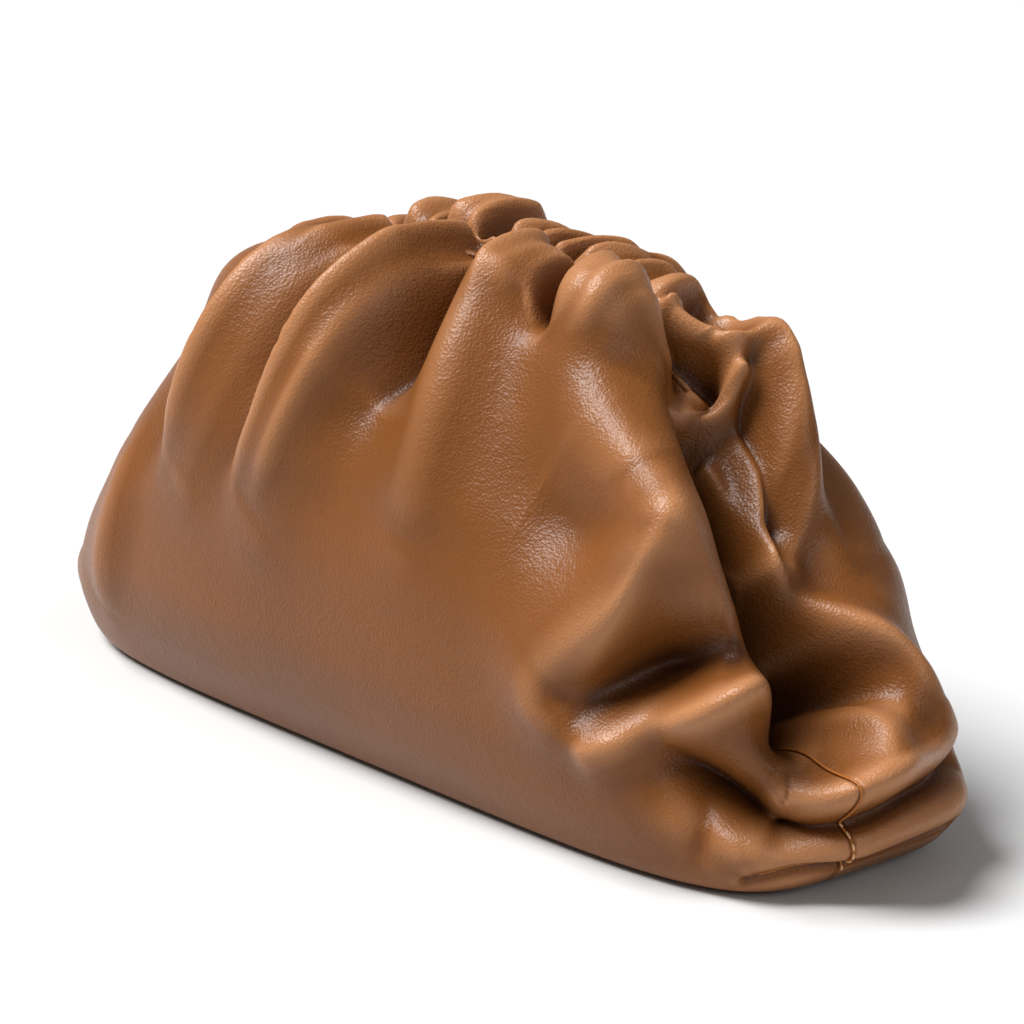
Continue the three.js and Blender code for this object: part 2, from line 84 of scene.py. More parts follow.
# Folds. Each runs from start through mid to end, as (angle, level) pairs. rise is its
# height there, as shares of the fold rise, and is below zero in a valley. spread is where
# it has fallen to half, on its left and its right as it runs, as shares of the fold
# spread. edge is 1 for a sharp crease and 2 or more for a round swell.
Fold = namedtuple("Fold", "name start mid end rise spread edge")
FOLDS = [
    Fold("left_edge", (-137, 0.42), (-131, 0.28), (-129, 0.14), (0.15, 0.3, 0.05),
         (0.4, 0.8), 1.5),
    Fold("left_crease", (-125, 0.88), (-121.5, 0.66), (-124, 0.44), (0.2, 0.5, 0.1),
         (0.35, 0.6), 1.3),
    Fold("left_slope", (-133, 0.82), (-131, 0.64), (-131, 0.46), (-0.15, -0.3, -0.1),
         (0.4, 0.5), 1.6),
    Fold("left_swell", (-116, 0.9), (-115, 0.7), (-118, 0.44), (0.1, 0.4, 0.15),
         (0.5, 0.6), 2.0),
    Fold("left_valley", (-108, 0.92), (-108, 0.78), (-106, 0.58), (-0.7, -0.65, -0.15),
         (0.34, 0.34), 1.4),
    Fold("second_ridge", (-98, 0.9), (-99, 0.7), (-106, 0.46), (0.3, 0.55, 0.15),
         (0.42, 0.3), 1.5),
    Fold("second_swell", (-91, 0.9), (-93, 0.68), (-101, 0.42), (0.15, 0.5, 0.1),
         (0.6, 0.7), 2.0),
    Fold("centre_valley", (-86, 0.95), (-82.5, 0.79), (-86, 0.62), (-1.05, -1.15, -0.15),
         (0.3, 0.42), 1.4),
    Fold("centre_ridge", (-74, 0.93), (-71, 0.74), (-75, 0.46), (0.4, 0.6, 0.1),
         (0.6, 0.6), 2.0),
    Fold("short_pocket", (-63, 0.94), (-61, 0.87), (-55, 0.8), (-0.85, -0.85, -0.1),
         (0.32, 0.22), 1.6),
    Fold("right_ridge", (-52, 0.92), (-46, 0.79), (-33, 0.56), (0.45, 0.5, 0.65),
         (0.6, 0.8), 2.0),
    Fold("front_peak", (-73, 0.905), (-59, 0.912), (-45, 0.88), (0.1, 0.65, 0.85),
         (0.45, 0.5), 2.0),
    Fold("front_edge", (-33, 0.62), (-27, 0.48), (-25, 0.35), (0.25, 0.75, 0.55),
         (0.35, 0.6), 1.8),
    Fold("right_dent", (-55, 0.56), (-47, 0.545), (-37, 0.56), (-0.1, -0.3, -0.25),
         (0.6, 0.6), 2.0),
    Fold("slant_ridge", (-33, 0.525), (-42, 0.42), (-53.5, 0.295), (0.35, 0.75, 0.85),
         (0.32, 0.8), 1.5),
    Fold("upper_hollow", (-28, 0.385), (-40, 0.372), (-53, 0.3), (-0.55, -1.05, -0.75),
         (0.34, 0.36), 1.7),
    Fold("lower_ridge", (-26, 0.33), (-38, 0.295), (-52, 0.24), (0.6, 0.6, 0.35),
         (0.34, 0.34), 1.8),
    Fold("lower_hollow", (-44, 0.262), (-39, 0.215), (-30, 0.178), (-0.65, -1.1, -0.8),
         (0.3, 0.38), 1.6),
    Fold("corner_crease", (-43, 0.215), (-43.5, 0.16), (-44.5, 0.08), (-0.05, -0.22, -0.05),
         (0.18, 0.18), 1.4),
    Fold("end_hollow", (6, 0.84), (-4, 0.58), (-9, 0.36), (-0.5, -1.5, -1.3),
         (1.0, 0.8), 2.3),
    Fold("end_notch", (-12, 0.94), (-15, 0.6), (-15, 0.36), (-0.2, -0.8, -0.6),
         (0.34, 0.34), 1.9),
    Fold("end_overhang", (-29, 0.2), (-18, 0.2), (26, 0.228), (0.35, 0.45, 0.15),
         (0.26, 0.26), 1.8),
    Fold("end_shadow", (-31, 0.148), (-9, 0.17), (34, 0.182), (-0.65, -0.65, -0.45),
         (0.18, 0.18), 1.5),
    Fold("base_band", (-38, 0.124), (-14, 0.14), (42, 0.131), (0.1, 0.22, 0.1),
         (0.3, 0.3), 2.0),
    Fold("end_crest", (38, 0.8), (18, 0.68), (-6, 0.5), (0.5, 1.15, 0.55),
         (0.34, 0.28), 1.8),
    Fold("end_crest_foot", (-6, 0.5), (7, 0.4), (20, 0.27), (0.55, 0.8, 0.35),
         (0.4, 0.32), 1.9),
    Fold("end_curl", (-4, 0.315), (-3, 0.265), (-15, 0.212), (0.5, 0.9, 0.5),
         (0.6, 0.24), 1.9),
    Fold("end_cavern", (-22, 0.29), (-6, 0.345), (6, 0.335), (-0.9, -2.0, -1.2),
         (0.26, 0.28), 1.8),
    Fold("back_corner", (36, 0.7), (34, 0.56), (36, 0.44), (0.35, 0.5, 0.3),
         (1.0, 1.0), 2.3),
    Fold("left_lobe", (160, 0.13), (181, 0.14), (200, 0.12), (0.3, 0.85, 0.35),
         (0.65, 0.75), 2.0),
    Fold("left_shoulder", (-140, 0.84), (-165, 0.76), (-190, 0.66), (0.3, 0.55, 0.2),
         (0.9, 1.0), 2.2),
    Fold("inner_crest", (45, 0.92), (38, 0.89), (24, 0.82), (0.2, 0.4, 0.2),
         (0.24, 0.24), 1.6),
    Fold("inner_pleat", (-3, 0.74), (-2, 0.66), (-4, 0.5), (0.1, 0.4, 0.2),
         (0.2, 0.2), 1.5),
    Fold("end_groove", (27, 0.79), (21, 0.69), (7, 0.56), (-0.4, -0.5, -0.3),
         (0.2, 0.2), 1.6),
    Fold("back_1", (113, 0.95), (111, 0.8), (107, 0.55), (0.25, 0.35, 0.0),
         (0.4, 0.4), 1.8),
    Fold("back_2", (99, 0.96), (100, 0.86), (98, 0.6), (0.75, 0.55, 0.1),
         (0.32, 0.4), 1.6),
    Fold("back_3", (84, 0.95), (82, 0.8), (80, 0.5), (0.35, 0.45, 0.1),
         (0.45, 0.5), 1.8),
    Fold("back_4", (70, 0.94), (66, 0.78), (62, 0.48), (0.35, 0.45, 0.1),
         (0.45, 0.5), 1.8),
    Fold("back_valley", (42, 0.74), (31, 0.61), (24, 0.47), (-0.3, -0.6, -0.3),
         (0.8, 0.35), 1.8),
    Fold("back_loop", (49, 0.93), (47, 0.885), (43, 0.79), (0.35, 0.5, 0.05),
         (0.36, 0.45), 1.8),
    Fold("back_v1", (92, 0.95), (92, 0.82), (90, 0.62), (-0.4, -0.5, -0.1),
         (0.35, 0.35), 1.5),
    Fold("back_v2", (106, 0.95), (106, 0.82), (104, 0.62), (-0.3, -0.4, -0.1),
         (0.3, 0.3), 1.5),
    Fold("back_v3", (77, 0.95), (75, 0.8), (72, 0.6), (-0.3, -0.4, -0.1),
         (0.35, 0.35), 1.5),
]

# Finer creases, given as the folds are
CREASES = [
    Fold("loop_hole", (46, 0.868), (42, 0.86), (34, 0.845), (-0.6, -1.2, -0.5),
         (0.18, 0.18), 2.6),
    Fold("inner_ridge", (47, 0.92), (36, 0.89), (20, 0.82), (0.2, 0.45, 0.35),
         (0.15, 0.15), 1.9),
    Fold("inner_hook", (20, 0.8), (4, 0.8), (-9, 0.865), (0.3, 0.35, 0.15),
         (0.13, 0.13), 1.7),
    Fold("second_hole", (41, 0.94), (31, 0.92), (18, 0.86), (-0.3, -0.8, -0.6),
         (0.14, 0.14), 2.0),
    Fold("gap_groove", (22, 0.77), (13, 0.66), (-2, 0.5), (-0.4, -0.75, 0.0),
         (0.14, 0.13), 1.8),
    Fold("gap_pleat_low", (-14, 0.7), (-11, 0.56), (-12, 0.43), (0.1, 0.35, 0.2),
         (0.09, 0.09), 1.5),
    Fold("hem_groove", (-38, 0.062), (-16, 0.1), (24, 0.104), (-0.14, -0.2, -0.16),
         (0.06, 0.06), 1.6),
    Fold("ridge_one", (-124, 0.84), (-122, 0.67), (-125, 0.47), (0.1, 0.28, 0.08),
         (0.3, 0.14), 1.7),
    Fold("ridge_two", (-95, 0.88), (-98, 0.72), (-107, 0.48), (0.15, 0.35, 0.08),
         (0.28, 0.15), 1.7),
    Fold("ridge_three", (-88, 0.86), (-93, 0.66), (-101, 0.46), (0.1, 0.25, 0.05),
         (0.2, 0.25), 1.8),
    Fold("valley_two", (-109, 0.86), (-106, 0.76), (-102, 0.66), (-0.2, -0.35, -0.05),
         (0.16, 0.16), 1.7),
    Fold("centre_crease", (-86, 0.94), (-83, 0.84), (-84, 0.7), (-0.5, -0.6, -0.05),
         (0.13, 0.13), 1.7),
    Fold("pocket_crease", (-62, 0.94), (-60, 0.885), (-56, 0.82), (-0.6, -0.75, -0.1),
         (0.15, 0.13), 1.8),
    Fold("pocket_edge", (-65, 0.93), (-63, 0.88), (-60, 0.82), (0.1, 0.25, 0.1),
         (0.1, 0.08), 1.6),
    Fold("tube_line", (38, 0.8), (18, 0.68), (-7, 0.47), (0.15, 0.28, 0.0),
         (0.22, 0.18), 1.8),
    Fold("tube_side", (31, 0.69), (19, 0.6), (5, 0.5), (0.05, 0.32, 0.3),
         (0.26, 0.24), 1.8),
    Fold("back_tube_1", (102, 0.95), (100, 0.9), (94, 0.8), (0.2, 0.3, 0.1),
         (0.22, 0.16), 1.8),
    Fold("back_tube_2", (115, 0.95), (113, 0.9), (107, 0.82), (0.1, 0.15, 0.05),
         (0.2, 0.16), 1.8),
    Fold("back_tube_3", (80, 0.95), (77, 0.9), (70, 0.8), (0.1, 0.18, 0.08),
         (0.22, 0.16), 1.8),
    Fold("back_tube_4", (64, 0.95), (61, 0.9), (54, 0.8), (0.1, 0.16, 0.08),
         (0.2, 0.16), 1.8),
    Fold("back_dip_1", (92, 0.95), (89, 0.9), (82, 0.82), (-0.25, -0.38, -0.1),
         (0.13, 0.15), 1.7),
    Fold("back_dip_2", (72, 0.95), (69, 0.9), (62, 0.82), (-0.2, -0.32, -0.1),
         (0.13, 0.15), 1.7),
    Fold("back_dip_3", (108, 0.95), (106, 0.9), (101, 0.84), (-0.15, -0.22, -0.05),
         (0.12, 0.14), 1.7),
]

# Small pleats where the leather is gathered onto the frame, in rows along the mouth: from
# the first angle to the last, with how many there are, the level that they reach down to,
# and the rise and spread of each
PleatRow = namedtuple("PleatRow", "name first last count foot rise spread")
PLEAT_ROWS = [
    PleatRow("front_left", -128, -88, 11, 0.84, 0.16, 0.10),
    PleatRow("front_middle", -86, -66, 7, 0.86, 0.20, 0.09),
    PleatRow("front_right", -62, -42, 6, 0.84, 0.16, 0.10),
    PleatRow("back_right", 44, 76, 10, 0.80, 0.20, 0.10),
    PleatRow("back_middle", 78, 112, 12, 0.79, 0.20, 0.11),
    PleatRow("back_left", 115, 136, 6, 0.84, 0.18, 0.11),
]

# How the pleats differ by chance, in shares of their step, reach and rise; the share of its
# rise that every second one dips by; their edge; and the levels that they start from and
# are raised by half way
PLEAT_SEED = 4
PLEAT_JITTER = 0.25
PLEAT_DIP = -0.8
PLEAT_EDGE = 1.7
PLEAT_TOP_LEVEL = 0.985
PLEAT_MID_RAISE = 0.02

MILLIMETRE = 0.001

# Small numbers that keep a division from failing, and the distance below which two points
# are one
TINY = 1e-12
TINY_SQUARE = 1e-15
JOIN_DISTANCE = 1e-6

# How many steps a fold's line is cut into, and the square of the length that rounds it off
PATH_STEPS = 16
CREASE_ROUNDING = 0.6 * MILLIMETRE**2

# The small steps to both sides, in degrees and in levels, that slopes are taken from
FRAME_STEPS = (0.25, 0.0015)
LINE_STEPS = (0.3, 0.003)

# Folds rise from nothing up to this level, and fade out on the lip, as the pleats do
BASE_KEEP_LEVEL = 0.06
LIP_FADE_START, LIP_FADE_LENGTH = 0.88, 0.08
PLEAT_FADE_START, PLEAT_FADE_LENGTH = 0.925, 0.035

# The lip draws in by this share of its depth, and opens again further inside
LIP_CLOSING = 0.88
LIP_CLOSE_START, LIP_CLOSE_LENGTH = 0.855, 0.09
LIP_OPEN_START, LIP_OPEN_LENGTH = 0.965, 0.03

# Rows of the flat base, how far columns crowd to the folded end and rows to the base, and
# how many cells away the bend is measured
BASE_ROWS = 4
END_CROWDING = 0.5
ROW_CROWDING = 1.1
BEND_REACH = 4

# The side seam turns to the front by these degrees low down and turns back above its level.
# It shows up to its top level, where its edges roll in over a width and tuck to a depth.
SEAM_TURN = 17.0
SEAM_TURN_LEVEL = 0.45
SEAM_TOP_LEVEL, SEAM_TOP_FADE = 0.31, 0.04
SEAM_FOOT_LEVEL = 0.075
SEAM_POINTS = 60
SEAM_ROLL = 1.6 * MILLIMETRE
SEAM_TUCK = 0.7 * MILLIMETRE

# The seam above the base, as (angle, level) pairs, and the share of it that shows
BASE_SEAM = ((-38.0, 0.064), (-16.0, 0.103), (24.0, 0.107))
BASE_SEAM_SHARES = (0.06, 0.96)
BASE_SEAM_POINTS = 90

# Cut edges and stitches are thin beads, whose width holds nearly to their ends. The top
# stitch starts at its level, and each is one step below the last.
BEAD_SIDES = 8
BEAD_POWER = 16
EDGE_RADIUS = 0.45 * MILLIMETRE
THREAD_RADIUS = 0.32 * MILLIMETRE
STITCH_COUNT = 7
STITCH_POINTS = 8
STITCH_TOP_LEVEL = 0.165
STITCH_STEP, STITCH_LENGTH = 0.0125, 0.008

# Shares of one colour in another: how much each grows with its cause, what is then taken
# off, and what a full share comes to
Share = namedtuple("Share", "gain start full")
CLOUDED = Share(2.0, 0.7, 1.0)
# Lighter ridges and raised swells: partly rubbed wear, partly a painted highlight
RIDGE_WEAR_AND_HIGHLIGHT = Share(3.4, 0.10, 1.0)
SWELL_WEAR_AND_HIGHLIGHT = Share(0.5, 0.15, 0.4)
WEAR_AND_HIGHLIGHT_FULL = 0.8
# Painted shade in the creases and in the low hollows
PAINTED_CREASE_SHADE = Share(-4.0, 0.08, 0.8)
PAINTED_HOLLOW_SHADE = Share(-0.7, 0.22, 0.85)
CREASE_UNEVENNESS = 0.0375
CLOUD_TONES = (0.86, 1.12)
CUT_EDGE_TONE = 1.8
FRAME_TONE = 0.85

# How far the sheen changes with the clouds, with the grain and with the bend
SHEEN_CLOUD, SHEEN_GRAIN, SHEEN_BEND = 0.14, 0.10, 0.10

# The studio: what the camera and the lights face, seen from the middle of the smooth form,
# the camera's lens for a square picture, and the lights
VIEW_MIDDLE = (0.017, -0.017, 0.085)
PICTURE_SIDE = 1024
FOCAL_PIXELS = 4500
SHIFT_PIXELS = (28, -12)
SENSOR_WIDTH = 36.0
FLOOR_HALF = 5.0
KEY_PLACE, KEY_SPREAD = (-0.62, -0.80, 1.75), math.radians(32)
SIDE_PLACE, SIDE_SIZE = (1.5, -0.1, 0.8), 0.7


class PouchSizes(bpy.types.PropertyGroup):
    """Real sizes of the bag, from which every piece is worked out"""

    bag_length: FloatProperty(
        name="Length", description="Along the base, before the folds", default=0.376, unit="LENGTH"
    )
    bag_height: FloatProperty(
        name="Height", description="From the floor to the lip", default=0.168, unit="LENGTH"
    )
    bag_depth: FloatProperty(
        name="Depth", description="From the front to the back", default=0.152, unit="LENGTH"
    )
    leather_wall: FloatProperty(
        name="Leather", description="Thickness of the leather", default=0.002, unit="LENGTH"
    )
    seam_gap: FloatProperty(
        name="Seam gap", description="Between the edges of the two panels", default=0.0003,
        unit="LENGTH",
    )
    fold_rise: FloatProperty(
        name="Fold rise", description="Height that a rise of 1 stands for", default=0.020,
        unit="LENGTH",
    )
    fold_spread: FloatProperty(
        name="Fold spread", description="Width that a spread of 1 stands for", default=0.020,
        unit="LENGTH",
    )
    columns: IntProperty(
        name="Columns", description="Columns of the grid on one panel", default=300, min=40, max=300
    )
    rows: IntProperty(
        name="Rows", description="Rows of the grid on one panel", default=150, min=30, max=160
    )


class PouchFinish(bpy.types.PropertyGroup):
    """Colours of the leather, of its worn ridges with their painted highlight and of its painted
    shade, and how far it shines
    """

    leather_colour: FloatVectorProperty(
        name="Leather", description="Colour of the flat leather", subtype="COLOR", size=4,
        default=(0.170, 0.055, 0.010, 1.0),
    )
    # Colour of the ridges: partly rubbed wear, partly a painted highlight
    ridge_wear_highlight_colour: FloatVectorProperty(
        name="Ridges", description="Colour where the folds are rubbed", subtype="COLOR", size=4,
        default=(0.39, 0.172, 0.072, 1.0),
    )
    # Painted shade: the colour that creases, hollows and the bag's inside are darkened to
    painted_shade_colour: FloatVectorProperty(
        name="Valleys", description="Colour deep in the folds", subtype="COLOR", size=4,
        default=(0.045, 0.012, 0.003, 1.0),
    )
    thread_colour: FloatVectorProperty(
        name="Thread", description="Colour of the stitches", subtype="COLOR", size=4,
        default=(0.62, 0.36, 0.17, 1.0),
    )
    roughness: FloatProperty(
        name="Roughness", description="Of the flat leather", default=0.40, min=0.0, max=1.0
    )


class PouchStage(bpy.types.PropertyGroup):
    """The floor, the lights and the camera"""

    azimuth: FloatProperty(
        name="Azimuth", description="Camera's way round, from the front", default=math.radians(50),
        subtype="ANGLE",
    )
    elevation: FloatProperty(
        name="Elevation", description="Camera's height above the horizon",
        default=math.radians(16.6), subtype="ANGLE",
    )
    distance: FloatProperty(
        name="Distance", description="From the camera to its target", default=1.41, unit="LENGTH"
    )
    floor_colour: FloatVectorProperty(
        name="Floor", description="Colour of the floor", subtype="COLOR", size=4,
        default=(0.56, 0.56, 0.56, 1.0),
    )
    key_strength: FloatProperty(
        name="Key light", description="Strength of the broad key light", default=5.9
    )
    side_power: FloatProperty(
        name="Side light", description="Power of the side light", default=5.0, unit="POWER"
    )
    sky_strength: FloatProperty(
        name="Sky", description="Strength of the even light", default=0.22
    )


def section_values(level):
    """Height, half length, half depth, squareness and droop at each level.

    Each is a cubic through the sections' values whose slopes are the harmonic means of
    its neighbours' slopes, so it never swings past them.
    """
    table = np.array(SECTIONS)
    knots = table[:, 0]
    span = np.clip(np.searchsorted(knots, level, side="right") - 1, 0, len(knots) - 2)
    width = np.diff(knots)
    t = (level - knots[span]) / width[span]
    values = []
    for k in range(1, table.shape[1]):
        value = table[:, k]
        slope = np.diff(value) / width
        before, after = slope[:-1], slope[1:]
        left_weight = 2 * width[1:] + width[:-1]
        right_weight = width[1:] + 2 * width[:-1]
        same_way = before * after > 0
        left = left_weight / np.where(same_way, before, 1.0)
        right = right_weight / np.where(same_way, after, 1.0)
        inner = np.where(same_way, (left_weight + right_weight) / (left + right), 0.0)
        tangent = np.concatenate([slope[:1], inner, slope[-1:]])
        values.append(
            (1 + 2 * t) * (1 - t) ** 2 * value[span]
            + t * (1 - t) ** 2 * width[span] * tangent[span]
            + t**2 * (3 - 2 * t) * value[span + 1]
            + t**2 * (t - 1) * width[span] * tangent[span + 1]
        )
    return values


def form_points(angle, level, sizes):
    """Points of the smooth form before its folds.

    The outline at a level is a superellipse: the cosine and sine of the angle, times the
    half length and half depth, divided by the root of the sum of their powers. The
    height falls towards the two ends by the droop times the cube of the way along.
    """
    cosine, sine = np.cos(np.radians(angle)), np.sin(np.radians(angle))
    height, half_length, half_depth, square, droop = section_values(level)
    reach = (np.abs(cosine) ** square + np.abs(sine) ** square) ** (-1 / square)
    x = half_length * sizes.bag_length / 2 * cosine * reach
    y = half_depth * sizes.bag_depth / 2 * sine * reach
    z = height * sizes.bag_height * (1 - droop * np.abs(cosine * reach) ** 3)
    return np.stack([x, y, z], -1)


FormFrame = namedtuple("FormFrame", "along_step shear rise_step out")


def form_frame(angle, level, sizes):
    """The way out of the form at each place, the length along it that one degree stands
    for, and the lengths along it and up it that one level stands for, from small steps to
    both sides"""
    degree, step = FRAME_STEPS
    low, high = np.maximum(level - step, 0), np.minimum(level + step, 1)
    along = form_points(angle + degree, level, sizes) - form_points(angle - degree, level, sizes)
    along = along / (2 * degree)
    climb = form_points(angle, high, sizes) - form_points(angle, low, sizes)
    climb = climb / (high - low)[..., None]
    along_step = np.linalg.norm(along, axis=-1)
    along = along / along_step[..., None]
    shear = (climb * along).sum(-1)
    up = climb - shear[..., None] * along
    rise_step = np.linalg.norm(up, axis=-1)
    return FormFrame(along_step, shear, rise_step, np.cross(along, up / rise_step[..., None]))


def through(first, middle, last, t):
    """A parabola that is first at 0, middle at a half and last at 1"""
    control = 2 * middle - (first + last) / 2
    return (1 - t) ** 2 * first + 2 * t * (1 - t) * control + t**2 * last


def eased(x):
    """0 below 0, 1 above 1 and a smooth step between"""
    x = np.clip(x, 0, 1)
    return x * x * (3 - 2 * x)


def nearest_on_line(line, angle, level, shape):
    """The nearest point of a fold's line to each place: the square of its distance, how far
    along the line it is, and the sine of the side that the place lies on"""
    centre = line[PATH_STEPS // 2, 0]
    turned = (centre - angle + 180) % 360 - 180
    nearest = np.full(angle.shape, np.inf)
    way = np.zeros(angle.shape)
    side = np.zeros(angle.shape)
    for i in range(PATH_STEPS):
        to_angle = turned + line[i, 0] - centre
        to_level = line[i, 1] - level
        from_x = shape.along_step * to_angle + shape.shear * to_level
        from_y = shape.rise_step * to_level
        step_angle, step_level = line[i + 1] - line[i]
        step_x = shape.along_step * step_angle + shape.shear * step_level
        step_y = shape.rise_step * step_level
        squared = step_x**2 + step_y**2 + TINY_SQUARE
        part = np.clip(-(from_x * step_x + from_y * step_y) / squared, 0, 1)
        gap_x = from_x + part * step_x
        gap_y = from_y + part * step_y
        distance = gap_x**2 + gap_y**2
        sine = (step_x * gap_y - step_y * gap_x) / (np.sqrt(squared) * np.sqrt(distance) + TINY)
        closer = distance < nearest
        nearest = np.where(closer, distance, nearest)
        way = np.where(closer, (i + part) / PATH_STEPS, way)
        side = np.where(closer, sine, side)
    return nearest, way, side


def fold_lift(fold, angle, level, shape, sizes):
    """How far one fold lifts each place off the form.

    The fold's line is a parabola in angle and level. The lift is the rise at the nearest
    point of the line, times 2 to the power of minus (the distance over the spread) to the
    power of the edge. The spread goes over from left to right with the sine of the side.
    """
    start, mid, end = (np.array(pair, float) for pair in (fold.start, fold.mid, fold.end))
    line = through(start, mid, end, np.linspace(0, 1, PATH_STEPS + 1)[:, None])
    nearest, way, side = nearest_on_line(line, angle, level, shape)
    left, right = fold.spread
    spread = (left + right + (right - left) * side) / 2 * sizes.fold_spread
    away = np.sqrt(nearest + CREASE_ROUNDING) / spread
    return through(*fold.rise, way) * sizes.fold_rise * 2.0 ** (-(away**fold.edge))


def pleats():
    """The small pleats of every pleat row, each a little different from the next and every
    second one pressed in"""
    rng = np.random.default_rng(PLEAT_SEED)
    made = []
    for row in PLEAT_ROWS:
        step = (row.last - row.first) / (row.count - 1)
        for k in range(row.count):
            jitter = rng.uniform(-PLEAT_JITTER, PLEAT_JITTER, 4)
            angle = row.first + step * (k + jitter[0])
            slant = step * jitter[1]
            foot = row.foot - (1 - row.foot) * (jitter[2] + PLEAT_JITTER)
            rise = row.rise * (1 + jitter[3]) * (1 if k % 2 == 0 else PLEAT_DIP)
            start = (angle, PLEAT_TOP_LEVEL)
            mid = (angle + slant, (PLEAT_TOP_LEVEL + foot) / 2 + PLEAT_MID_RAISE)
            end = (angle + 3 * slant, foot)
            spread = (row.spread, row.spread)
            made.append(Fold(row.name, start, mid, end, (rise, rise, 0.0), spread, PLEAT_EDGE))
    return made


def leather_points(angle, level, sizes):
    """Points of the folded leather, and how far each is lifted, as a share of the fold rise.

    A point of the form moves out of it by the sum of all the lifts, which fade out at the
    base edge and on the lip. The top of the lip then draws in towards the middle of the
    bag, over the bars of the frame.
    """
    shape = form_frame(angle, level, sizes)
    at_base = eased(level / BASE_KEEP_LEVEL)
    keep = at_base * (1 - eased((level - LIP_FADE_START) / LIP_FADE_LENGTH))
    pleat_keep = at_base * (1 - eased((level - PLEAT_FADE_START) / PLEAT_FADE_LENGTH))
    lift = np.zeros(angle.shape)
    for folds, share in ((FOLDS + CREASES, keep), (pleats(), pleat_keep)):
        for fold in folds:
            lift += fold_lift(fold, angle, level, shape, sizes) * share
    points = form_points(angle, level, sizes) + shape.out * lift[..., None]
    closed = eased((level - LIP_CLOSE_START) / LIP_CLOSE_LENGTH)
    closed = closed * (1 - eased((level - LIP_OPEN_START) / LIP_OPEN_LENGTH))
    points[..., 1] *= 1 - LIP_CLOSING * closed
    points[..., 2] = np.maximum(points[..., 2], 0.0)
    return points, lift / sizes.fold_rise


def frame_offset():
    """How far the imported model's origin lies from the middle of the smooth form"""
    front_low, front_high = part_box("front_frame_bar")
    back_low, back_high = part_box("back_frame_bar")
    x = (front_low[0] + front_high[0]) / 2
    y = (front_low[1] + front_high[1] + back_low[1] + back_high[1]) / 4
    return np.array([x, y, 0.0])


def seam_turn(levels):
    """Degrees by which the side seam has turned to the front at each level"""
    back = eased((levels - SEAM_TURN_LEVEL) / (LIP_FADE_START - SEAM_TURN_LEVEL))
    return SEAM_TURN * (1 - back)


def grid_angles(first, last, columns, levels):
    """Angles from first to last for every level.

    They are even angles less a share of their sine, which crowds them to the folded end, at
    0, less the seam's turn times the square of the mean of 1 and their cosine.
    """
    turn = np.radians(np.linspace(first, last, columns + 1))
    near_end = ((1 + np.cos(turn)) / 2) ** 2
    crowded = np.degrees(turn - END_CROWDING * np.sin(turn))
    return crowded[None, :] - seam_turn(levels)[:, None] * near_end[None, :]


def grid_normals(points):
    """Unit normals of a grid of points: the cross product of its two central differences"""
    normal = np.cross(np.gradient(points, axis=1), np.gradient(points, axis=0))
    return normal / np.maximum(np.linalg.norm(normal, axis=-1, keepdims=True), TINY)


def grid_bend(points, normals):
    """How sharply a grid bends: the height of each point over the mean of the four points
    a few cells away, along the normal, over their mean distance"""
    reach = BEND_REACH
    padded = np.pad(points, ((reach, reach), (reach, reach), (0, 0)), mode="edge")
    sides = [padded[2 * reach:, reach:-reach], padded[:-2 * reach, reach:-reach],
             padded[reach:-reach, 2 * reach:], padded[reach:-reach, :-2 * reach]]
    mean = sum(sides) / len(sides)
    distance = sum(np.linalg.norm(side - points, axis=-1) for side in sides) / len(sides)
    return ((points - mean) * normals).sum(-1) / np.maximum(distance, JOIN_DISTANCE)


def grid_faces(rows, columns, flipped=False):
    """Four-sided faces of a grid of rows by columns of points"""
    index = np.arange(rows * columns).reshape(rows, columns)
    corners = [index[:-1, :-1], index[:-1, 1:], index[1:, 1:], index[1:, :-1]]
    if flipped:
        corners.reverse()
    return np.stack(corners, -1).reshape(-1, 4)


def strip_faces(first, second):
    """Four-sided faces between two equal runs of point numbers"""
    return np.stack([first[:-1], second[:-1], second[1:], first[1:]], -1)


def wall_faces(rows, columns):
    """Faces of a closed wall: the outer grid, the inner grid and the strips along their
    four edges"""
    outer = np.arange(rows * columns).reshape(rows, columns)
    inner = outer + rows * columns
    return np.concatenate([
        grid_faces(rows, columns),
        grid_faces(rows, columns, flipped=True) + rows * columns,
        strip_faces(outer[0], inner[0]),
        strip_faces(inner[-1], outer[-1]),
        strip_faces(inner[:, 0], outer[:, 0]),
        strip_faces(outer[:, -1], inner[:, -1]),
    ])


def wall_values(values, inside):
    """A value for every point of a wall: 0 on the base, and the same all over the inside"""
    outer = np.concatenate([np.zeros((BASE_ROWS, values.shape[1])), values])
    return np.concatenate([outer.ravel(), np.full(outer.size, inside)])


def make_piece(name, vertices, faces, material, attributes=()):
    """A mesh object at the origin, from arrays of points and faces"""
    mesh = bpy.data.meshes.new(name)
    mesh.from_pydata(vertices.tolist(), [], faces.tolist())
    mesh.polygons.foreach_set("use_smooth", np.ones(len(mesh.polygons), bool))
    for label, values in attributes:
        layer = mesh.attributes.new(label, "FLOAT", "POINT")
        layer.data.foreach_set("value", values.astype(np.float32))
    mesh.materials.append(material)
    mesh.validate()
    mesh.update()
    piece = bpy.data.objects.new(name, mesh)
    bpy.context.scene.collection.objects.link(piece)
    return piece


def merge_doubles(piece):
    """Joins the points of a piece that lie in the same place"""
    closed = bmesh.new()
    closed.from_mesh(piece.data)
    bmesh.ops.remove_doubles(closed, verts=closed.verts, dist=JOIN_DISTANCE)
    closed.to_mesh(piece.data)
    closed.free()


def with_base(wall, side, sizes):
    """The wall's rows after the rows of the flat base, which run from the seam along the
    middle of the base, where the points are spread by a cosine, out to the base edge"""
    ring = wall[0]
    share = (1 - np.cos(np.linspace(0, np.pi, len(ring)))) / 2
    seam = ring[0] + (ring[-1] - ring[0]) * share[:, None]
    seam[1:-1, 1] += side * sizes.seam_gap / 2
    parts = np.arange(BASE_ROWS)[:, None, None] / BASE_ROWS
    return np.concatenate([seam + (ring - seam) * parts, wall])


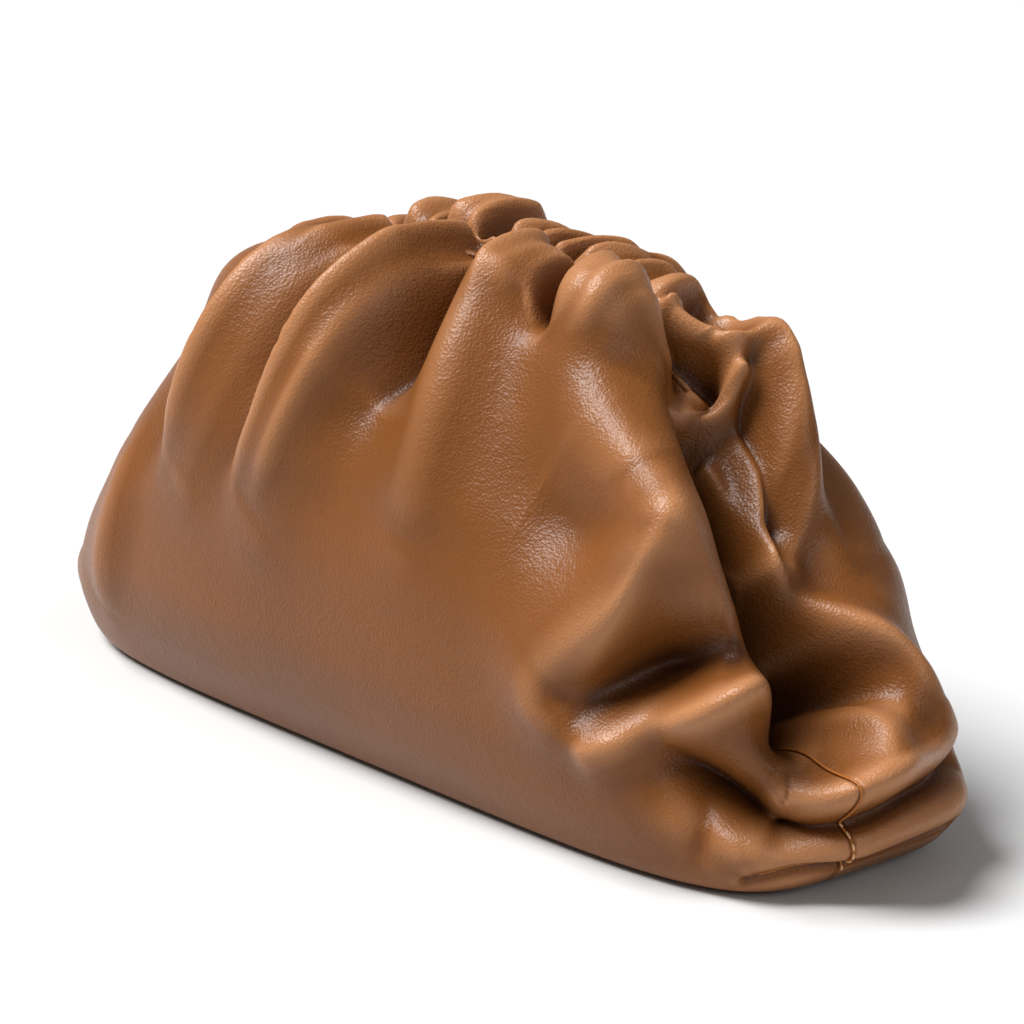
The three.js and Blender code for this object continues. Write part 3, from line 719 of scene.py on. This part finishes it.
def seam_distance(points):
    """How far each point of a grid lies from the nearer end of its row, along the row"""
    steps = np.linalg.norm(np.diff(points, axis=1), axis=-1)
    from_first = np.concatenate([np.zeros((len(points), 1)), np.cumsum(steps, axis=1)], axis=1)
    return np.minimum(from_first, from_first[:, -1:] - from_first)


def seamed(outer, normals, level, side, sizes):
    """The outer face with its base edge on the floor and its side edges, where the seam
    shows, half the seam gap from the middle and tucked in"""
    shown = 1 - eased((level - SEAM_TOP_LEVEL) / SEAM_TOP_FADE)
    outer[:, [0, -1], 1] += side * sizes.seam_gap / 2 * shown[:, [0, -1]]
    tuck = eased(1 - seam_distance(outer) / SEAM_ROLL) * SEAM_TUCK * shown
    outer = outer - normals * tuck[..., None]
    outer[0, :, 2] = 0.0
    return outer


def inner_face(outer, normals, sizes):
    """The inner face, a wall's thickness inside the outer one and above the floor"""
    inner = outer - normals * sizes.leather_wall
    inner[..., 2] = np.maximum(inner[..., 2], sizes.leather_wall)
    inner[0, :, 2] = sizes.leather_wall
    return inner


def leather_panel(name, first, last, side, node, sizes, material):
    """One panel of leather, from its first to its last angle, as a closed wall with its half
    of the base, in place of a node"""
    levels = np.linspace(0, 1, sizes.rows + 1) ** ROW_CROWDING
    angle = grid_angles(first, last, sizes.columns, levels)
    level = np.broadcast_to(levels[:, None], angle.shape)
    outer, lift = leather_points(angle, level, sizes)
    normals = grid_normals(outer)
    attributes = [
        ("bend", wall_values(grid_bend(outer, normals), 0.0)),
        # The inside gets a lift of -1, which darkens it all over with painted shade
        ("lift", wall_values(lift, -1.0)),
    ]
    outer = seamed(outer, normals, level, side, sizes)
    inner = inner_face(outer, normals, sizes)
    walls = [with_base(face, side, sizes).reshape(-1, 3) for face in (outer, inner)]
    points = np.concatenate(walls) + frame_offset()
    faces = wall_faces(len(levels) + BASE_ROWS, sizes.columns + 1)
    piece = make_piece(name, points, faces, material, attributes)
    merge_doubles(piece)
    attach(piece, "root")
    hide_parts(node)


def surface_line(angles, levels, sizes):
    """Points of the leather along a line of angles and levels, and the unit normals there,
    from the differences to close neighbours on either side"""
    degree, step = LINE_STEPS
    angle = angles[:, None] + np.array([0, 1, -1, 0, 0]) * degree
    level = levels[:, None] + np.array([0, 0, 0, 1, -1]) * step
    points, _ = leather_points(angle, level, sizes)
    normals = np.cross(points[:, 1] - points[:, 2], points[:, 3] - points[:, 4])
    normals /= np.linalg.norm(normals, axis=-1, keepdims=True)
    return points[:, 0] + frame_offset(), normals


def side_seam_line(first, last, count, sizes):
    """A part of the side seam, from one level down to another"""
    levels = np.linspace(first, last, count)
    return surface_line(-seam_turn(levels), levels, sizes)


def base_seam_line(sizes):
    """The seam that runs across the boxed end just above the base, a parabola"""
    share = np.linspace(*BASE_SEAM_SHARES, BASE_SEAM_POINTS)
    angles, levels = (through(*values, share) for values in zip(*BASE_SEAM))
    return surface_line(angles, levels, sizes)


def bead(points, normals, radius):
    """A thin round bead along a line on the leather, with closed round ends: rings in the
    plane of the normal and the side way, whose radius falls to nothing at both ends as the
    root of 1 less a high power of the way along"""
    tangent = np.gradient(points, axis=0)
    tangent /= np.linalg.norm(tangent, axis=-1, keepdims=True)
    aside = np.cross(tangent, normals)
    turn = np.linspace(0, 2 * np.pi, BEAD_SIDES + 1)[None, :, None]
    width = radius * np.sqrt(1 - np.linspace(-1, 1, len(points)) ** BEAD_POWER)
    ring = np.cos(turn) * normals[:, None] + np.sin(turn) * aside[:, None]
    grid = points[:, None] + ring * width[:, None, None]
    return grid.reshape(-1, 3), grid_faces(len(points), BEAD_SIDES + 1)


def bead_piece(name, beads, material):
    """Several beads as one mesh"""
    points = np.concatenate([made[0] for made in beads])
    starts = np.cumsum([0] + [len(made[0]) for made in beads[:-1]])
    faces = np.concatenate([made[1] + start for made, start in zip(beads, starts)])
    piece = make_piece(name, points, faces, material)
    merge_doubles(piece)
    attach(piece, "root")


class Shade:
    """A node's socket that stands in a Python expression, which adds its Math nodes"""

    def __init__(self, finish, socket):
        self.finish = finish
        self.socket = socket

    def maths(self, operation, first, second):
        return self.finish.node("ShaderNodeMath", {"operation": operation}, {0: first, 1: second})

    def __add__(self, other):
        return self.maths("ADD", self, other)

    def __radd__(self, other):
        return self.maths("ADD", other, self)

    def __sub__(self, other):
        return self.maths("SUBTRACT", self, other)

    def __rsub__(self, other):
        return self.maths("SUBTRACT", other, self)

    def __mul__(self, other):
        return self.maths("MULTIPLY", self, other)

    def __rmul__(self, other):
        return self.maths("MULTIPLY", other, self)

    def held(self):
        """The value kept between 0 and 1"""
        return self.maths("MAXIMUM", self.maths("MINIMUM", self, 1.0), 0.0)

    def share(self, mixed):
        """The share of a colour that the value causes"""
        return (self * mixed.gain - mixed.start).held() * mixed.full


class Finish:
    """A material, with one method that adds any node to it"""

    def __init__(self, name):
        self.material = bpy.data.materials.new(name)
        self.material.use_nodes = True
        self.tree = self.material.node_tree
        self.tree.nodes.clear()

    def node(self, kind, settings=None, sockets=None, output=0):
        """Adds a node, sets it up, fills or links its sockets and gives one output"""
        made = self.tree.nodes.new(kind)
        for key, value in (settings or {}).items():
            setattr(made, key, value)
        for key, value in (sockets or {}).items():
            if isinstance(value, Shade):
                self.tree.links.new(value.socket, made.inputs[key])
            else:
                made.inputs[key].default_value = value
        return Shade(self, made.outputs[output]) if made.outputs else None

    def noise(self, place, scale, detail):
        """Cloudy noise over a place"""
        sockets = {"Vector": place, "Scale": scale, "Detail": detail}
        return self.node("ShaderNodeTexNoise", {}, sockets)

    def mix(self, factor, first, second):
        """A colour between two others"""
        colour_inputs = {0: factor, 6: first, 7: second}
        return self.node("ShaderNodeMix", {"data_type": "RGBA"}, colour_inputs, output=2)

    def bump(self, height, strength, distance, normal=None):
        """A normal tilted by the slope of a height"""
        sockets = {"Height": height, "Strength": strength, "Distance": distance}
        if normal is not None:
            sockets["Normal"] = normal
        return self.node("ShaderNodeBump", {}, sockets)

    def surface(self, **sockets):
        """A Principled shader with these sockets, as the material's surface"""
        named = {key.replace("_", " "): value for key, value in sockets.items()}
        shader = self.node("ShaderNodeBsdfPrincipled", {}, named)
        self.node("ShaderNodeOutputMaterial", {}, {"Surface": shader})
        return self.material


def scaled(colour, share):
    """A colour made lighter or darker"""
    return tuple(part * share for part in colour[:3]) + (1.0,)


def leather_finish(name, finish, tone=1.0):
    """Soft full-grain leather: a fine pebbled grain, faint wrinkles, ridges lighter from rubbed
    wear and a painted highlight, painted shade in creases and hollows, and an uneven satin sheen"""
    leather = Finish(name)
    place = leather.node("ShaderNodeTexCoord", output="Object")
    bend = leather.node("ShaderNodeAttribute", {"attribute_name": "bend"}, output="Fac")
    lift = leather.node("ShaderNodeAttribute", {"attribute_name": "lift"}, output="Fac")
    cloud = leather.noise(place, scale=16.0, detail=4.0)
    fine = leather.noise(place, scale=420.0, detail=3.0)
    dark, light = (scaled(finish.leather_colour, share * tone) for share in CLOUD_TONES)
    painted_shade = scaled(finish.painted_shade_colour, tone)
    flat = leather.mix(cloud.share(CLOUDED), dark, light)
    # Ridges and raised swells grow lighter: partly rubbed wear, partly a painted highlight
    wear_and_highlight = (bend.share(RIDGE_WEAR_AND_HIGHLIGHT) + lift.share(SWELL_WEAR_AND_HIGHLIGHT)).held() * WEAR_AND_HIGHLIGHT_FULL
    worn_and_highlit = leather.mix(wear_and_highlight, flat, scaled(finish.ridge_wear_highlight_colour, tone))
    # Creases and low hollows are darkened towards the shade colour: painted shade
    uneven_bend = bend - (fine - 0.5) * CREASE_UNEVENNESS
    with_crease_shade = leather.mix(uneven_bend.share(PAINTED_CREASE_SHADE), worn_and_highlit, painted_shade)
    colour = leather.mix(lift.share(PAINTED_HOLLOW_SHADE), with_crease_shade, painted_shade)
    roughness = finish.roughness + (cloud - 0.5) * SHEEN_CLOUD + (fine - 0.5) * SHEEN_GRAIN
    return leather.surface(
        Base_Color=colour, Roughness=roughness - bend * SHEEN_BEND,
        Normal=leather_grain(leather, place, fine), Specular_IOR_Level=0.26,
    )


def leather_grain(leather, place, fine):
    """The leather's relief: ridged wrinkles, then rounded pebbles, then a fine roughness"""
    wrinkle = leather.node(
        "ShaderNodeTexNoise", {"noise_type": "RIDGED_MULTIFRACTAL"},
        {"Vector": place, "Scale": 130.0, "Detail": 4.0, "Roughness": 0.6},
    )
    pebble = leather.node(
        "ShaderNodeTexVoronoi", {"feature": "SMOOTH_F1"}, {"Vector": place, "Scale": 1300.0}
    )
    wrinkled = leather.bump(wrinkle, strength=0.22, distance=0.7 * MILLIMETRE)
    grained = leather.bump(pebble, strength=0.50, distance=0.4 * MILLIMETRE, normal=wrinkled)
    return leather.bump(fine, strength=0.30, distance=0.5 * MILLIMETRE, normal=grained)


def thread_finish(finish):
    """Waxed thread with a fine twist"""
    thread = Finish("waxed_thread")
    place = thread.node("ShaderNodeTexCoord", output="Object")
    twist = thread.noise(place, scale=1500.0, detail=2.0)
    relief = thread.bump(twist, strength=0.4, distance=0.2 * MILLIMETRE)
    return thread.surface(Base_Color=tuple(finish.thread_colour), Roughness=0.6, Normal=relief)


class POUCH_OT_leather(bpy.types.Operator):
    """Gathered leather panels, front and back"""

    bl_idname = "pouch.leather"
    bl_label = "Leather panels"

    def execute(self, context):
        sizes = context.scene.pouch_sizes
        material = leather_finish("caramel_leather", context.scene.pouch_finish)
        leather_panel("front_leather", -180, 0, -1, "front_panel", sizes, material)
        leather_panel("back_leather", 0, 180, 1, "back_panel", sizes, material)
        return {"FINISHED"}


class POUCH_OT_seams(bpy.types.Operator):
    """Cut leather edges of the side seam and of the seam above the base, and the thread"""

    bl_idname = "pouch.seams"
    bl_label = "Seams"

    def execute(self, context):
        sizes = context.scene.pouch_sizes
        finish = context.scene.pouch_finish
        side = side_seam_line(SEAM_TOP_LEVEL, SEAM_FOOT_LEVEL, SEAM_POINTS, sizes)
        edges = [bead(*line, EDGE_RADIUS) for line in (side, base_seam_line(sizes))]
        bead_piece("seam_edges", edges, leather_finish("cut_edge", finish, CUT_EDGE_TONE))
        stitches = []
        for k in range(STITCH_COUNT):
            top = STITCH_TOP_LEVEL - STITCH_STEP * k
            points, normals = side_seam_line(top, top - STITCH_LENGTH, STITCH_POINTS, sizes)
            stitches.append(bead(points + normals * EDGE_RADIUS, normals, THREAD_RADIUS))
        bead_piece("side_stitches", stitches, thread_finish(finish))
        return {"FINISHED"}


class POUCH_OT_frame_bars(bpy.types.Operator):
    """Leather on the two bars of the frame"""

    bl_idname = "pouch.frame_bars"
    bl_label = "Frame bars"

    def execute(self, context):
        material = leather_finish("frame_cover", context.scene.pouch_finish, FRAME_TONE)
        for name in ("front_frame_bar", "back_frame_bar"):
            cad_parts[name].material_slots[0].material = material
        return {"FINISHED"}


def studio_light(name, kind, place, target, strength):
    """A light at a place, turned towards a target"""
    lamp = bpy.data.lights.new(name, kind)
    lamp.energy = strength
    piece = bpy.data.objects.new(name, lamp)
    piece.location = place
    piece.rotation_euler = (target - Vector(place)).to_track_quat("-Z", "Y").to_euler()
    bpy.context.scene.collection.objects.link(piece)
    return piece


def studio_camera(stage, middle):
    """The camera of the photograph: a long lens at the azimuth and elevation, whose shift
    puts the bag where it stands in the picture"""
    a, e = stage.azimuth, stage.elevation
    back = Vector((math.sin(a) * math.cos(e), -math.cos(a) * math.cos(e), math.sin(e)))
    right = Vector((math.cos(a), math.sin(a), 0))
    lens = bpy.data.cameras.new("studio_camera")
    lens.sensor_width = SENSOR_WIDTH
    lens.lens = FOCAL_PIXELS / PICTURE_SIDE * SENSOR_WIDTH
    lens.shift_x, lens.shift_y = (shift / PICTURE_SIDE for shift in SHIFT_PIXELS)
    camera = bpy.data.objects.new("studio_camera", lens)
    turned = Matrix((right, back.cross(right), back)).transposed().to_4x4()
    turned.translation = middle + back * stage.distance
    camera.matrix_world = turned
    bpy.context.scene.collection.objects.link(camera)
    bpy.context.scene.camera = camera
    return camera


def studio_sky(strength):
    """Even white light from all around"""
    sky = bpy.data.worlds.new("studio_sky")
    sky.use_nodes = True
    background = sky.node_tree.nodes["Background"]
    background.inputs["Color"].default_value = (1.0, 1.0, 1.0, 1.0)
    background.inputs["Strength"].default_value = strength
    return sky


class POUCH_OT_stage(bpy.types.Operator):
    """Pale floor, soft studio light and the photograph's camera"""

    bl_idname = "pouch.stage"
    bl_label = "Stage"

    def execute(self, context):
        scene = context.scene
        stage = scene.pouch_stage
        paint = Finish("floor_paint").surface(Base_Color=tuple(stage.floor_colour), Roughness=0.75)
        corners = np.array([[-1, -1, 0], [1, -1, 0], [1, 1, 0], [-1, 1, 0]]) * FLOOR_HALF
        floor = make_piece("floor", corners, np.array([[0, 1, 2, 3]]), paint)
        middle = Vector(VIEW_MIDDLE) + Vector(frame_offset())
        key = studio_light("key_light", "SUN", KEY_PLACE, middle, stage.key_strength)
        key.data.angle = KEY_SPREAD
        side = studio_light("side_light", "AREA", SIDE_PLACE, middle, stage.side_power)
        side.data.size = SIDE_SIZE
        camera = studio_camera(stage, middle)
        scene.world = studio_sky(stage.sky_strength)
        scene.view_settings.view_transform = "Standard"
        return {"FINISHED"}


class POUCH_PT_sidebar(bpy.types.Panel):
    """The bag's pieces, sizes and finish"""

    bl_idname = "POUCH_PT_sidebar"
    bl_label = "Cloud pouch bag"
    bl_space_type = "VIEW_3D"
    bl_region_type = "UI"
    bl_category = "Pouch"

    def draw(self, context):
        scene = context.scene
        for operator in OPERATORS:
            self.layout.operator(operator.bl_idname)
        for group in (scene.pouch_sizes, scene.pouch_finish, scene.pouch_stage):
            box = self.layout.box()
            for name in group.__annotations__:
                box.prop(group, name)


OPERATORS = (POUCH_OT_leather, POUCH_OT_seams, POUCH_OT_frame_bars, POUCH_OT_stage)
GROUPS = {"pouch_sizes": PouchSizes, "pouch_finish": PouchFinish, "pouch_stage": PouchStage}


def register():
    for group in GROUPS.values():
        bpy.utils.register_class(group)
    for name, group in GROUPS.items():
        setattr(bpy.types.Scene, name, PointerProperty(type=group))
    for made in (*OPERATORS, POUCH_PT_sidebar):
        bpy.utils.register_class(made)


def unregister():
    for made in (POUCH_PT_sidebar, *reversed(OPERATORS)):
        bpy.utils.unregister_class(made)
    for name in GROUPS:
        delattr(bpy.types.Scene, name)
    for group in reversed(GROUPS.values()):
        bpy.utils.unregister_class(group)


def main():
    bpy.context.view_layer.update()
    register()
    bpy.ops.pouch.leather()
    bpy.ops.pouch.seams()
    bpy.ops.pouch.frame_bars()
    bpy.ops.pouch.stage()


if __name__ == "__main__":
    main()
